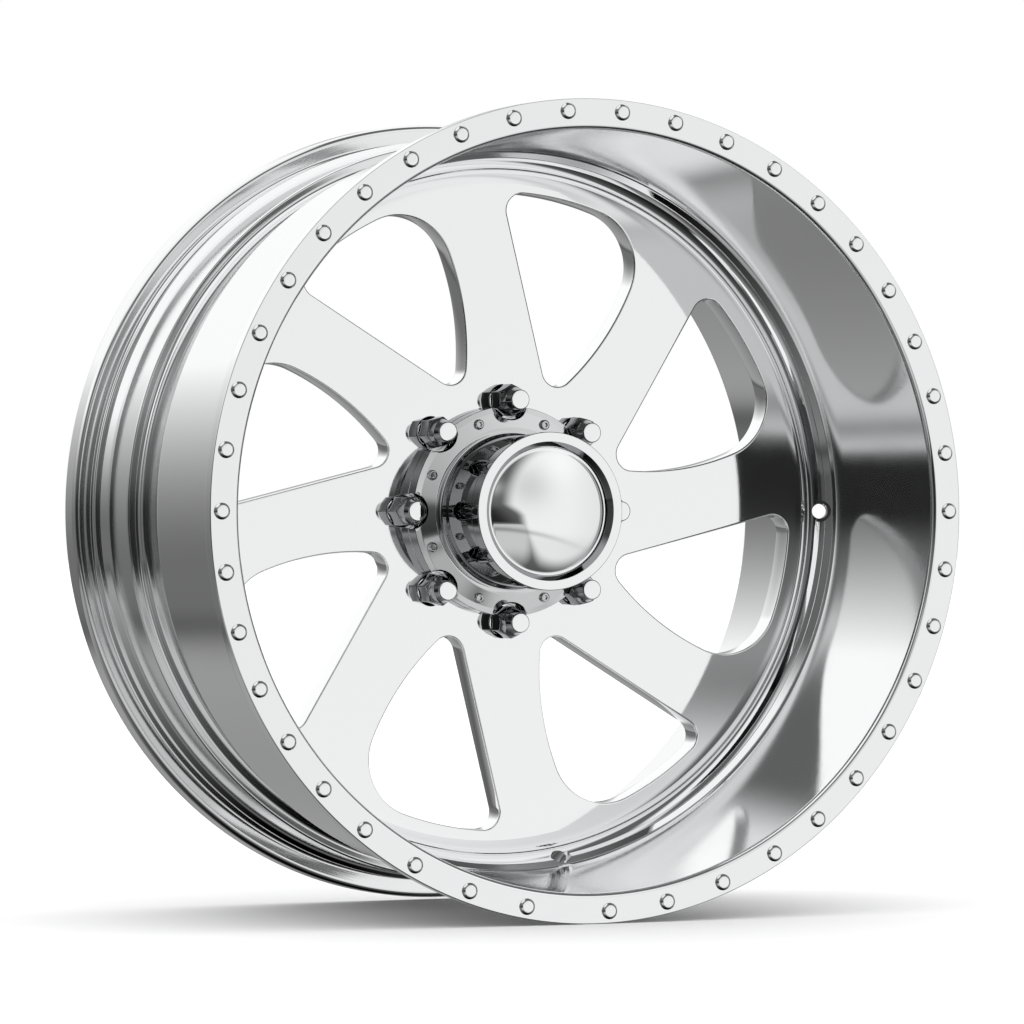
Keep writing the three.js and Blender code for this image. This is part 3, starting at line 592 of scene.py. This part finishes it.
def cap_body_surfaces():
    """Tube, scalloped skirt whose front slopes back as a cone, and the two end faces."""
    ring_back = CAP_FRONT + CAP_RING_LENGTH
    tube_front = ring_back + SEAT_GAP
    skirt_back = DISC_FACE - SEAT_GAP
    skirt_front = skirt_back - SKIRT_HEIGHT
    inner = CAP_BODY_RADIUS - CAP_BODY_WALL
    foot = 3.0
    quarter = np.linspace(0, math.pi / 2, 6)
    edge = skirt_outline(SKIRT_RADIUS - SKIRT_BEVEL, SKIRT_SCALLOP + 1.0)
    loops, levels = [], []
    for share in (0, 0.04, 0.3, 0.6, 0.96, 1):
        loop, drop = coned_loop(edge, share)
        loops.append(loop)
        levels.append(skirt_front + drop)
    rim_drop = levels[-1] - skirt_front
    for share in (0.06, 0.35, 0.65, 0.94):
        rest = 1 - share
        loops.append(skirt_outline(SKIRT_RADIUS - SKIRT_BEVEL * rest, SKIRT_SCALLOP + rest))
        levels.append(skirt_front + rim_drop + (SKIRT_BEVEL - rim_drop) * share)
    loops += [skirt_outline(SKIRT_RADIUS, SKIRT_SCALLOP)] * 2
    levels += [skirt_front + SKIRT_BEVEL + 0.3, skirt_back - 0.5]
    loops += [skirt_outline(SKIRT_RADIUS - 0.5, SKIRT_SCALLOP + 0.3),
              skirt_outline(SKIRT_RADIUS - 0.9, SKIRT_SCALLOP + 0.6)]
    levels += [skirt_back, skirt_back]
    steps = 192
    tube = [circle(CAP_BODY_RADIUS + foot + 0.4, steps)]
    tube += [circle(CAP_BODY_RADIUS + foot * (1 - math.sin(a)), steps) for a in quarter]
    tube_levels = [skirt_front] + [skirt_front - foot * (1 - math.cos(a)) for a in quarter]
    tube += [circle(r, steps) for r in (CAP_BODY_RADIUS, CAP_BODY_RADIUS - 0.5, CAP_BODY_RADIUS - 9)]
    tube_levels += [tube_front + 0.5, tube_front, tube_front]
    tube += [circle(r, steps) for r in (CAP_BODY_RADIUS - 9, inner, inner, inner + 0.4)]
    tube_levels += [tube_front + 4, tube_front + 4, skirt_back, skirt_back]
    return [stacked(loops, levels), stacked(tube, tube_levels),
            flat_region([loops[0], tube[0]], skirt_front), flat_region([loops[-1], tube[-1]], skirt_back)]


def cap_ring_profile():
    """Flat front, bevelled inside towards the dome and bevelled at the back."""
    front, back = CAP_FRONT, CAP_FRONT + CAP_RING_LENGTH
    lip = front + CAP_RING_BEVEL
    inner = CAP_RING_INNER - CAP_RING_BEVEL
    recess = inner + 3.1
    return rounded_corners([
        (CAP_RING_INNER, front, 0.25),
        (CAP_RING_RADIUS, front, 0.7),
        (CAP_RING_RADIUS, back - 3, 0.8),
        (CAP_RING_RADIUS - 1, back, 0.3),
        (recess, back, 0.2),
        (recess, lip + 4, 0.2),
        (inner, lip + 4, 0.2),
        (inner, lip, 0.25),
    ], steps=5, support=0.12)


def dome_profile():
    """Sphere cap with a flat rim round it and a flange behind the ring."""
    rim_plane = CAP_FRONT + CAP_RING_BEVEL + DOME_SET_BACK
    rise = rim_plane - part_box("hub_cap_dome")[0].y / MM
    sphere = (DOME_RADIUS**2 + rise**2) / (2 * rise)
    centre = rim_plane - rise + sphere
    sweep = np.linspace(0, math.asin(DOME_RADIUS / sphere), 40)
    front = np.stack([sphere * np.sin(sweep), centre - sphere * np.cos(sweep)], axis=1)
    back = CAP_FRONT + CAP_RING_LENGTH
    inner = sphere - DOME_WALL
    inner_sweep = np.linspace(math.asin((DOME_RADIUS - DOME_WALL) / inner), 0, 24)
    behind = np.stack([inner * np.sin(inner_sweep), centre - inner * np.cos(inner_sweep)], axis=1)
    flange = CAP_FRONT + CAP_RING_BEVEL + 4.3
    edge = [(DOME_RADIUS + 0.25, rim_plane + 0.05), (DOME_RIM_RADIUS - 0.4, rim_plane + 0.05),
            (DOME_RIM_RADIUS, rim_plane + 0.4), (DOME_RIM_RADIUS, flange), (DOME_RIM_RADIUS + 3, flange),
            (DOME_RIM_RADIUS + 3, back), (DOME_RADIUS - DOME_WALL, back)]
    return np.vstack([front, edge, behind])


def screw_surfaces():
    """A button head with a hexagon socket, about the axis, its seat at y = 0 and its foot sunk below."""
    steps, head, height = 48, CAP_SCREW_HEAD_RADIUS, CAP_SCREW_HEAD_HEIGHT
    angle = np.arange(steps) * TAU / steps
    ones = np.ones_like(angle)
    socket = np.minimum(hexagon_radius(angle, CAP_SCREW_SOCKET_RADIUS, 0.1), CAP_SCREW_SOCKET_RADIUS)
    sweep = np.linspace(0.12, math.pi / 2, 8)
    rows = [(0 * ones, -height * 0.35 * ones), (socket * 0.92, -height * 0.35 * ones),
            (socket, -height * 0.97 * ones), (socket + 0.2, -height * ones)]
    rows += [((head - 1.5 + 1.5 * math.sin(a)) * ones, (-height + 1.5 * (1 - math.cos(a))) * ones)
             for a in sweep]
    rows += [(head * ones, CAP_SCREW_SINK * ones), (0 * ones, CAP_SCREW_SINK * ones)]
    points = np.array([np.stack([r * np.cos(angle), y, r * np.sin(angle)], axis=1) for r, y in rows])
    return points.reshape(-1, 3), grid_faces(len(rows), steps, False, True)


# ---- materials ----
class Shader:
    """A short way to add and join nodes of one material or world."""

    def __init__(self, tree):
        """Starts an empty node tree."""
        self.tree = tree
        tree.nodes.clear()

    def add(self, kind, inputs=(), **settings):
        """A new node. An input that is another node's socket is linked, and any other is set."""
        made = self.tree.nodes.new(kind)
        for key, value in settings.items():
            setattr(made, key, value)
        for key, value in dict(inputs).items():
            if isinstance(value, bpy.types.NodeSocket):
                self.tree.links.new(value, made.inputs[key])
            else:
                made.inputs[key].default_value = value
        return made

    def math(self, operation, *values, clamp=False):
        """One arithmetic step on numbers or sockets."""
        made = self.add("ShaderNodeMath", dict(enumerate(values)), operation=operation, use_clamp=clamp)
        return made.outputs[0]

    def smooth(self, value, low, high, start=0.0, end=1.0):
        """An S-shaped rise from start to end as the value goes from low to high."""
        made = self.add("ShaderNodeMapRange", {"Value": value, "From Min": low, "From Max": high,
                                               "To Min": start, "To Max": end}, interpolation_type="SMOOTHSTEP")
        return made.outputs["Result"]


def turned_metal(name, color, roughness, groove=0.0, pitch=0.35, smudge=0.25):
    """Metal whose roughness varies in soft cloudy patches, with fine rings about the axle where it was turned:
    the ring height follows noise of the distance from the axle and the place along it."""
    material = bpy.data.materials.new(name)
    material.use_nodes = True
    shader = Shader(material.node_tree)
    place = shader.add("ShaderNodeTexCoord").outputs["Object"]
    cloud = shader.add("ShaderNodeTexNoise", {"Vector": place, "Scale": 9.0, "Detail": 4.0, "Roughness": 0.6})
    fine = shader.add("ShaderNodeTexNoise", {"Vector": place, "Scale": 900.0, "Detail": 3.0, "Roughness": 0.7})
    parts = shader.add("ShaderNodeSeparateXYZ", {"Vector": place})
    flat = shader.add("ShaderNodeCombineXYZ", {"X": parts.outputs["X"], "Y": parts.outputs["Z"]})
    radius = shader.add("ShaderNodeVectorMath", {0: flat.outputs[0]}, operation="LENGTH").outputs["Value"]
    along = shader.add("ShaderNodeCombineXYZ", {"X": radius, "Y": parts.outputs["Y"]})
    rings = shader.add("ShaderNodeTexNoise", {"Vector": along.outputs[0], "Scale": 1 / (pitch * MM), "Detail": 2.0,
                                              "Roughness": 0.6})
    spread = shader.smooth(cloud.outputs["Fac"], 0.35, 0.7, roughness * (1 - smudge), roughness * (1 + smudge))
    spread = shader.math("ADD", spread, shader.math("MULTIPLY", shader.math("SUBTRACT", fine.outputs["Fac"], 0.5),
                                                    roughness * smudge))
    bump = shader.add("ShaderNodeBump", {"Height": rings.outputs["Fac"], "Strength": min(1.0, groove),
                                         "Distance": 0.00002})
    surface = shader.add("ShaderNodeBsdfPrincipled", {"Base Color": (*color, 1), "Metallic": 1.0,
                                                      "Roughness": spread})
    if groove:
        shader.tree.links.new(bump.outputs[0], surface.inputs["Normal"])
    shader.add("ShaderNodeOutputMaterial", {"Surface": surface.outputs[0]})
    return material


MIRROR = turned_metal("polished_aluminium", (0.93, 0.935, 0.94), 0.022, groove=0.06, pitch=0.8)
TURNED = turned_metal("turned_aluminium", (0.9, 0.905, 0.91), 0.085, groove=0.35)
FACE = turned_metal("spoke_face_aluminium", (0.93, 0.935, 0.94), 0.035, groove=0.08)
BORE = turned_metal("bore_aluminium", (0.82, 0.825, 0.83), 0.24, groove=0.7)
CHROME = turned_metal("chrome", (0.92, 0.925, 0.93), 0.02, smudge=0.5)
# Painted shade: chrome with its base colour cut to about a third. It stands in for the dark reflections on faces
# that do not look forward; the real parts are bright chrome all through.
SHADE_PAINTED_CHROME = turned_metal("chrome_with_painted_shade", (0.3, 0.304, 0.31), 0.03, smudge=0.5)
# Satin chrome, a little rougher, whose base colour is also dimmed to about two thirds of the chrome's: in part a
# painted shade that darkens the cap body's forward faces.
SATIN_WITH_PAINTED_DIMMING = turned_metal("satin_chrome_painted_dim", (0.66, 0.665, 0.67), 0.05, groove=0.2, smudge=0.4)
STEEL = turned_metal("screw_steel", (0.6, 0.6, 0.61), 0.16)


def split_by(target, choose, extra):
    """Adds materials to a mesh and gives each face the slot that choose picks from the radius and depth of its
    centre and from how squarely it faces the street side."""
    mesh = target.data
    for material in extra:
        mesh.materials.append(material)
    centres = np.empty(len(mesh.polygons) * 3)
    mesh.polygons.foreach_get("center", centres)
    centres = centres.reshape(-1, 3) / MM
    radius = np.hypot(centres[:, 0], centres[:, 2])
    normals = np.empty(len(mesh.polygons) * 3)
    mesh.polygons.foreach_get("normal", normals)
    front = -normals.reshape(-1, 3)[:, 1]
    chosen = choose(radius, centres[:, 1] - LIP_PLANE, front)
    mesh.polygons.foreach_set("material_index", chosen.astype(np.int32))


# ---- the pieces of the wheel ----
def barrel_finish(radius, depth, front):
    """Slot 1, turned, on the lip face, at the rear end and wherever the radius is beyond the well's floor, which
    takes in the dish wall and the rear bore. Slot 2, bore, inside the rear of the well. Slot 0, polished,
    elsewhere, which leaves the shoulder and the foot of the dish."""
    lip_face, beyond_floor = depth < 0.6, (depth > 9) & (radius > WELL_RADIUS - 1)
    return np.where(lip_face | beyond_floor | (depth > 260), 1, np.where(depth > 190, 2, 0))


def painted_shade_sides(radius, depth, front):
    """Slot 0, bright, where a face looks forward, and slot 1 elsewhere: painted shade, a darkened chrome on every
    face that does not look forward.
    """
    return np.where(front > FORWARD_FACING, 0, 1)


def make_barrel():
    """The revolved barrel with its valve holes drilled."""
    barrel = piece("rim_barrel_finish", [revolved(barrel_profile())], MIRROR,
                   replaces=["rim_barrel"])
    cut_with(barrel, [valve_cutter(f"valve_cut_{i}", angle, MIRROR) for i, angle in enumerate(VALVE_ANGLES)])
    split_by(barrel, barrel_finish, [TURNED, BORE])


def make_pins():
    """A bevelled button head on a short shank, turned about each pin's own axis."""
    head, flat, top = PIN_HEAD_RADIUS, PIN_FLAT_RADIUS, -PIN_HEAD_HEIGHT
    profile = [(0, top), (2.5, top), (flat - 0.2, top), (flat + 0.15, top + 0.12), (head - 0.3, -0.75),
               (head - 0.05, -0.5), (head, -0.3), (head, 0), (3, 0), (3, 6), (0, 6)]
    surface = solid_of_revolution(profile, 40)
    for name in sorted(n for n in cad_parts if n.startswith("lip_pin")):
        low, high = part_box(name)
        offset = ((low.x + high.x) / 2 / MM, LIP_PLANE, (low.z + high.z) / 2 / MM)
        piece(f"{name}_finish", [moved(surface, offset)], TURNED, replaces=[name])


def make_nuts():
    """Eight nuts on the lug circle, each on its own body."""
    surface = nut_surfaces()
    for i, angle in enumerate(lug_angles()):
        x, z = on_circle(LUG_CIRCLE_RADIUS, angle)
        nut = piece(f"lug_nut_{i + 1}_finish", [moved(turned_piece(surface, angle), (x, DISC_FACE, z))], CHROME,
                    body=f"nut_{i + 1}", replaces=[f"lug_nut_{i + 1}"])
        # Painted shade: the nut's hexagon and other sides get the darkened chrome, and its forward-facing tip
        # stays bright.
        split_by(nut, painted_shade_sides, [SHADE_PAINTED_CHROME])


def make_cap():
    """Cap body, front ring and dome."""
    body = piece("hub_cap_body_finish", cap_body_surfaces(), SATIN_WITH_PAINTED_DIMMING, replaces=["hub_cap_body"])
    # Painted shade: the cap body's forward faces get the dimmed satin chrome, and its other faces get the darkened
    # chrome.
    split_by(body, painted_shade_sides, [SHADE_PAINTED_CHROME])
    ring = piece("hub_cap_ring_finish", [revolved(cap_ring_profile(), 192)], CHROME,
                 replaces=["hub_cap_ring"])
    # Painted shade: the ring's sides get the darkened chrome, and its flat front stays bright.
    split_by(ring, painted_shade_sides, [SHADE_PAINTED_CHROME])
    piece("hub_cap_dome_finish", [solid_of_revolution(dome_profile(), 192)], CHROME,
          replaces=["hub_cap_dome"])


def make_cap_screws():
    """Eight screws half way between the nuts, seated on the skirt's cone."""
    surface = screw_surfaces()
    seat = DISC_FACE - SEAT_GAP - SKIRT_HEIGHT + skirt_drop(CAP_SCREW_CIRCLE)
    for i, angle in enumerate(lug_angles(TAU / LUG_COUNT / 2)):
        x, z = on_circle(CAP_SCREW_CIRCLE, angle)
        piece(f"cap_screw_{i + 1}", [moved(surface, (x, seat, z))], STEEL)


# ---- floor, studio and camera ----
def make_floor():
    """A wide sheet of white paper under the wheel, which mirrors do not see."""
    half, height = FLOOR_HALF, FLOOR_HEIGHT
    mesh = bpy.data.meshes.new("floor")
    mesh.from_pydata([(-half, -half, height), (half, -half, height), (half, half, height), (-half, half, height)],
                     [], [(0, 1, 2, 3)])
    floor = bpy.data.objects.new("floor", mesh)
    bpy.context.scene.collection.objects.link(floor)
    paper = bpy.data.materials.new("floor_paper")
    paper.use_nodes = True
    shader = paper.node_tree.nodes["Principled BSDF"]
    shader.inputs["Base Color"].default_value = (0.95, 0.95, 0.95, 1)
    shader.inputs["Roughness"].default_value = 0.9
    mesh.materials.append(paper)
    floor.visible_glossy = False


class Studio(Shader):
    """The world's node tree, with the direction of view as azimuth from the street side and elevation above the
    horizon, in degrees."""

    def __init__(self, world):
        """Starts the tree and works out both angles from the direction."""
        super().__init__(world.node_tree)
        parts = self.add("ShaderNodeSeparateXYZ", {"Vector": self.add("ShaderNodeTexCoord").outputs["Generated"]})
        x, y, z = (parts.outputs[axis] for axis in "XYZ")
        self.elevation = self.math("DEGREES", self.math("ARCSINE", z))
        self.azimuth = self.math("DEGREES", self.math("ARCTAN2", x, self.math("MULTIPLY", y, -1.0)))

    def blend(self, low, high, share):
        """low and high mixed by a share from 0 to 1."""
        return self.math("ADD", low, self.math("MULTIPLY", share, self.math("SUBTRACT", high, low)))

    def times(self, *values):
        """The product of all values."""
        result = values[0]
        for value in values[1:]:
            result = self.math("MULTIPLY", result, value)
        return result

    def spot(self, at_azimuth, at_elevation, wide, high):
        """A soft round patch, 1 at its middle and 0 outside: exp of minus the squared distance."""
        x = self.math("DIVIDE", self.math("SUBTRACT", self.azimuth, at_azimuth), wide)
        y = self.math("DIVIDE", self.math("SUBTRACT", self.elevation, at_elevation), high)
        distance = self.math("ADD", self.times(x, x), self.times(y, y))
        return self.math("EXPONENT", self.times(distance, -1.0))


def surroundings(sky):
    """Light from above over a dark floor, with a dark stretch in front of the street side, which the light from
    above clears on the left only."""
    azimuth, elevation = sky.azimuth, sky.elevation
    behind = sky.smooth(sky.math("ABSOLUTE", azimuth), 150.0, 178.0, 0.0, 9.0)
    climb = sky.math("DIVIDE", sky.math("ADD", sky.math("ADD", elevation, 3.0), behind), 24.0, clamp=True)
    overhead = sky.blend(0.16, 1.04, sky.math("POWER", climb, 1.7))
    ahead = sky.times(sky.smooth(azimuth, -88.0, -62.0), sky.smooth(azimuth, 100.0, 84.0))
    rise = sky.times(sky.math("MAXIMUM", sky.math("ADD", azimuth, 40.0), 0.0), 0.8)
    ceiling = sky.smooth(sky.math("SUBTRACT", elevation, rise), 26.0, 44.0, 0.13, 0.95)
    ceiling = sky.math("ADD", ceiling, sky.times(sky.spot(-26.0, 17.0, 12.0, 5.0), 0.5))
    overhead = sky.blend(overhead, ceiling, ahead)
    depth = sky.math("POWER", sky.math("DIVIDE", sky.math("ADD", elevation, 76.0), 58.0, clamp=True), 1.6)
    ground = sky.times(sky.blend(0.34, 0.2, ahead), depth)
    return sky.blend(ground, overhead, sky.smooth(elevation, -17.0, -9.0))


def with_panel(sky, studio):
    """A soft oval panel in front and to the right, notched at its lower left, and a pale apron below it."""
    azimuth, elevation = sky.azimuth, sky.elevation
    across = sky.math("DIVIDE", sky.math("SUBTRACT", azimuth, 31.0), 42.0)
    up = sky.math("DIVIDE", sky.math("SUBTRACT", elevation, 4.0), 41.0)
    reach = sky.math("SQRT", sky.math("ADD", sky.times(across, across), sky.times(up, up)))
    notch = sky.times(sky.smooth(elevation, 6.0, -4.0), sky.smooth(azimuth, 24.0, -4.0), 0.26)
    panel = sky.smooth(sky.math("ADD", reach, notch), 1.08, 0.8)
    glow = sky.math("SUBTRACT", 0.93, sky.times(sky.spot(8.0, 17.0, 17.0, 14.0), 0.24))
    glow = sky.math("ADD", glow, sky.times(sky.spot(42.0, 30.0, 18.0, 12.0), 0.1))
    glow = sky.math("SUBTRACT", glow, sky.times(sky.smooth(azimuth, 30.0, 70.0), 0.1))
    glow = sky.math("SUBTRACT", glow, sky.times(sky.smooth(elevation, -12.0, -22.0), 0.1))
    studio = sky.blend(studio, glow, panel)
    apron = sky.times(sky.smooth(azimuth, -60.0, -34.0), sky.smooth(azimuth, 20.0, 4.0),
                      sky.smooth(elevation, -46.0, -24.0), sky.smooth(elevation, -8.0, -10.0))
    return sky.math("MAXIMUM", studio, sky.times(apron, 0.6))


def with_dark_lines(sky, studio):
    """A thin dark line along the horizon and a near-black strip just above it on the left."""
    azimuth, elevation = sky.azimuth, sky.elevation
    horizon = sky.math("SUBTRACT", -12.5, sky.times(sky.smooth(azimuth, -20.0, 70.0), 9.0))
    over = sky.math("SUBTRACT", elevation, horizon)
    line = sky.math("EXPONENT", sky.times(over, over, -0.35))
    darkening = sky.times(line, sky.smooth(azimuth, 75.0, -25.0), 0.5)
    studio = sky.times(studio, sky.math("SUBTRACT", 1.0, darkening))
    slope = sky.math("ADD", azimuth, sky.times(elevation, 1.1))
    strip = sky.times(sky.smooth(azimuth, -66.0, -50.0), sky.smooth(slope, 0.0, -24.0),
                      sky.smooth(elevation, -9.0, -7.0), sky.smooth(elevation, 8.0, 0.0))
    return sky.blend(studio, 0.02, strip)


def make_studio():
    """The light: metal sees the studio, the camera sees a white backdrop, and matt surfaces get a plain light."""
    world = bpy.data.worlds.new("studio")
    bpy.context.scene.world = world
    world.use_nodes = True
    sky = Studio(world)
    studio = with_dark_lines(sky, with_panel(sky, surroundings(sky)))
    rays = sky.add("ShaderNodeLightPath")
    seen = sky.blend(studio, BACKDROP_LIGHT, rays.outputs["Is Camera Ray"])
    seen = sky.blend(seen, MATT_LIGHT, rays.outputs["Is Diffuse Ray"])
    background = sky.add("ShaderNodeBackground", {"Color": seen, "Strength": 1.0})
    sky.add("ShaderNodeOutputWorld", {"Surface": background.outputs[0]})


def make_camera():
    """A long lens level with the axle, from the left of the street side."""
    data = bpy.data.cameras.new("camera")
    camera = bpy.data.objects.new("camera", data)
    bpy.context.scene.collection.objects.link(camera)
    data.sensor_width = 36
    data.lens = CAMERA_LENS
    data.clip_end = 100
    camera.location = CAMERA_PLACE
    camera.rotation_euler = (math.pi / 2, 0, CAMERA_TURN)
    bpy.context.scene.camera = camera
    bpy.context.scene.view_settings.view_transform = "Standard"


make_barrel()
piece("spoke_disc_finish", disc_surfaces(), FACE, replaces=["spoke_disc"])
make_pins()
make_nuts()
make_cap()
make_cap_screws()
make_floor()
make_studio()
make_camera()
